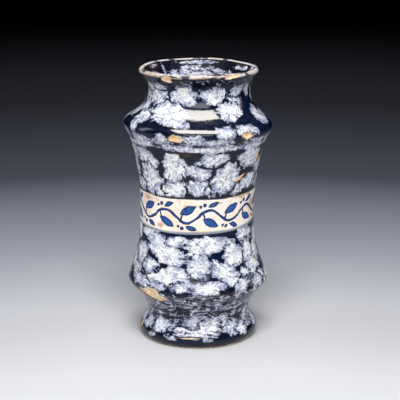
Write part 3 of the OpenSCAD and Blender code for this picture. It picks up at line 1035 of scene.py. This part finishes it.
def lining_at(turn, z):
    """The place on the jar's inside at an angle and a height, with its directions along and up."""
    a = math.radians(turn)
    spans = zip(lining_outline, lining_outline[1:])
    radius = min(r0 + (r1 - r0) * (z - z0) / (z1 - z0)
                 for (r0, z0), (r1, z1) in spans if min(z0, z1) <= z < max(z0, z1))
    middle = Vector((radius * math.sin(a), -radius * math.cos(a), z))
    return middle, Vector((math.cos(a), math.sin(a), 0)), None, Vector((0, 0, 1))


# The dabs that show through the mouth, given as those in front are
MOUTH_DABS = [
    (180, 197.6, 12, 0.9, 0), (184, 193.4, 10, 1.6, 0), (181, 189.4, 11, 1.9, 0), (152, 191.4, 7, 1.6, 20),
    (225, 194.5, 1.0, 3.6, 6), (208, 190.2, 5.4, 2.4, 0), (120, 196, 6, 1.5, 0), (132, 190, 5, 1.8, 10),
    (246, 191.5, 5, 2.0, 0), (100, 191, 5, 2.2, 0), (240, 197.6, 4, 0.8, 0), (196, 191.5, 4, 1.4, 0)]
# The chance ones, low in the jar and near the mouth: how many, and the least and the most of each size
LOW_DABS = (110, [(0, 360), (30, 180), (8, 16), (3, 6), (-8, 8)])
NEAR_DABS = (12, [(-95, 95), (180, 197), (6, 12), (2, 4), (-8, 8)])


def lining_dabs():
    """The dabs that show through the mouth, after chance ones dragged round the wall."""
    luck = np.random.default_rng(8)
    chance = []
    for count, ranges in (LOW_DABS, NEAR_DABS):
        chance += [tuple(luck.uniform(*ends) for ends in ranges) for _ in range(count)]
    return chance + MOUTH_DABS


def lining_material():
    """The sponged ground as it lies inside: a little smeared, sooty and dull."""
    material, shader, place = new_material("lining_glaze")
    pattern = place_effect(dab_effect, Place=place, Smear=0.25, Thin=0.7, Sweep=1.0, Soot=0.8)
    dress(shader, pattern["Colour"], fade(grain(place, 200, 3), 0.3, 0.7, 0.3, 0.5), gloss=0.02)
    return material


LINING_STEP = 1.1 * MM
lining = turned_piece("lining_glaze", "inner_glaze", LINING_STEP, columns=260, shown="inside")
finish_piece(lining, "inner_glaze", lining_material(), broken_glaze)
sponge(lining, lining_dabs(), lining_at)
bpy.data.objects.remove(broken_away)

# Floor and light
# A pale studio floor whose colour is painted as a pool of light that falls into the dark further out,
# soft boxes overhead, in front, behind and at both sides, and the camera where the photograph was taken
# from.
FLOOR_HALF = 6.0
PAINTED_LIGHT_MIDDLE = (0, -0.25, 0)
PAINTED_LIGHT_REACH = 2.4
# How far from the middle of the painted pool of light in metres, and the floor's painted tone there
PAINTED_LIGHT_TONES = [
    (0.10, (0.77, 0.77, 0.785)), (0.24, (0.695, 0.695, 0.715)), (0.34, (0.595, 0.60, 0.64)),
    (0.48, (0.388, 0.40, 0.46)), (0.65, (0.225, 0.238, 0.285)), (0.77, (0.088, 0.096, 0.122)),
    (1.2, (0.037, 0.038, 0.048)), (2.1, (0.001, 0.001, 0.001))]
floor_mesh = bpy.data.meshes.new("studio_floor")
floor_corners = [(FLOOR_HALF * x, FLOOR_HALF * y, 0) for x, y in ((-1, -1), (1, -1), (1, 1), (-1, 1))]
floor_mesh.from_pydata(floor_corners, [], [(0, 1, 2, 3)])
floor = show("studio_floor", floor_mesh)
floor_material, shader, place = new_material("studio_floor")
# The floor's colour is painted lighter near the pool's middle and darker further out, standing in for the
# fall of light
from_middle = calc_vector("SUBTRACT", place, PAINTED_LIGHT_MIDDLE)
distance = add("ShaderNodeVectorMath", {0: from_middle}, operation="LENGTH").outputs["Value"]
ramp_node = add("ShaderNodeValToRGB", {0: calc("DIVIDE", distance, PAINTED_LIGHT_REACH)})
tones = ramp_node.color_ramp
tones.elements.remove(tones.elements[1])
tones.elements[0].color = (*PAINTED_LIGHT_TONES[0][1], 1)
for at, tone in PAINTED_LIGHT_TONES:
    tones.elements.new(at / PAINTED_LIGHT_REACH).color = (*tone, 1)
join(ramp_node.outputs[0], shader.inputs["Base Color"])
shader.inputs["Roughness"].default_value = 0.6
shader.inputs["Specular IOR Level"].default_value = 0.0
floor_mesh.materials.append(floor_material)


def soft_box(name, at, aim, size, watts, tint=(1, 1, 1), lights=True, shows=True):
    """A rectangular light at a place, aimed at another. It lights what it falls on, shows in the glaze,
    or does both."""
    lamp = bpy.data.lights.new(name, "AREA")
    lamp.shape = "RECTANGLE"
    lamp.size, lamp.size_y = size
    lamp.energy = watts
    lamp.color = tint
    box = show(name, lamp)
    box.location = at
    box.rotation_euler = (Vector(aim) - Vector(at)).to_track_quat("-Z", "Y").to_euler()
    box.visible_diffuse = lights
    box.visible_glossy = shows


WARM = (1, 0.95, 0.88)
COOL = (0.9, 0.95, 1)
JAR_MIDDLE = (0, 0, JAR_HEIGHT / 2)
KEY_AIM = (0, 0, 0.12)
LONG_BOX = (1.2, 0.5)
TALL_BOX = (0.25, 0.9)
soft_box("key_box", (0, -0.62, 1.08), KEY_AIM, (0.5, 0.36), watts=10.2, shows=False)
soft_box("key_glint", (0, -0.46, 1.17), KEY_AIM, (1.08, 0.76), watts=92, tint=WARM, lights=False)
soft_box("front_box", (0, -1.5, 0.86), JAR_MIDDLE, LONG_BOX, watts=13)
soft_box("back_box", (0, 1.5, 1.0), JAR_MIDDLE, LONG_BOX, watts=4)
soft_box("left_box", (-1.0, 0.1, 0.5), JAR_MIDDLE, TALL_BOX, watts=3, tint=COOL)
soft_box("right_box", (1.0, 0.15, 0.5), JAR_MIDDLE, TALL_BOX, watts=2.4, tint=COOL)

SKY_LOW, SKY_HIGH = 0.001, 0.075
world = bpy.data.worlds.new("studio")
bpy.context.scene.world = world
world.use_nodes = True
tree = world.node_tree
sky_place = add("ShaderNodeTexCoord", tree=tree).outputs["Generated"]
sky_height = add("ShaderNodeSeparateXYZ", {0: sky_place}).outputs[2]
join(fade(sky_height, 0.0, 1.0, SKY_LOW, SKY_HIGH), tree.nodes["Background"].inputs["Color"])

CAMERA_PLACE = (1.4 * MM, -980.4 * MM, 351.1 * MM)
CAMERA_DOWN = 14.31
camera_data = bpy.data.cameras.new("camera")
camera_data.sensor_width = 36.0
camera_data.lens = 123.6
camera = show("camera", camera_data)
camera.location = CAMERA_PLACE
camera.rotation_euler = (math.radians(90 - CAMERA_DOWN), 0, 0)
bpy.context.scene.camera = camera
bpy.context.scene.view_settings.view_transform = "Standard"
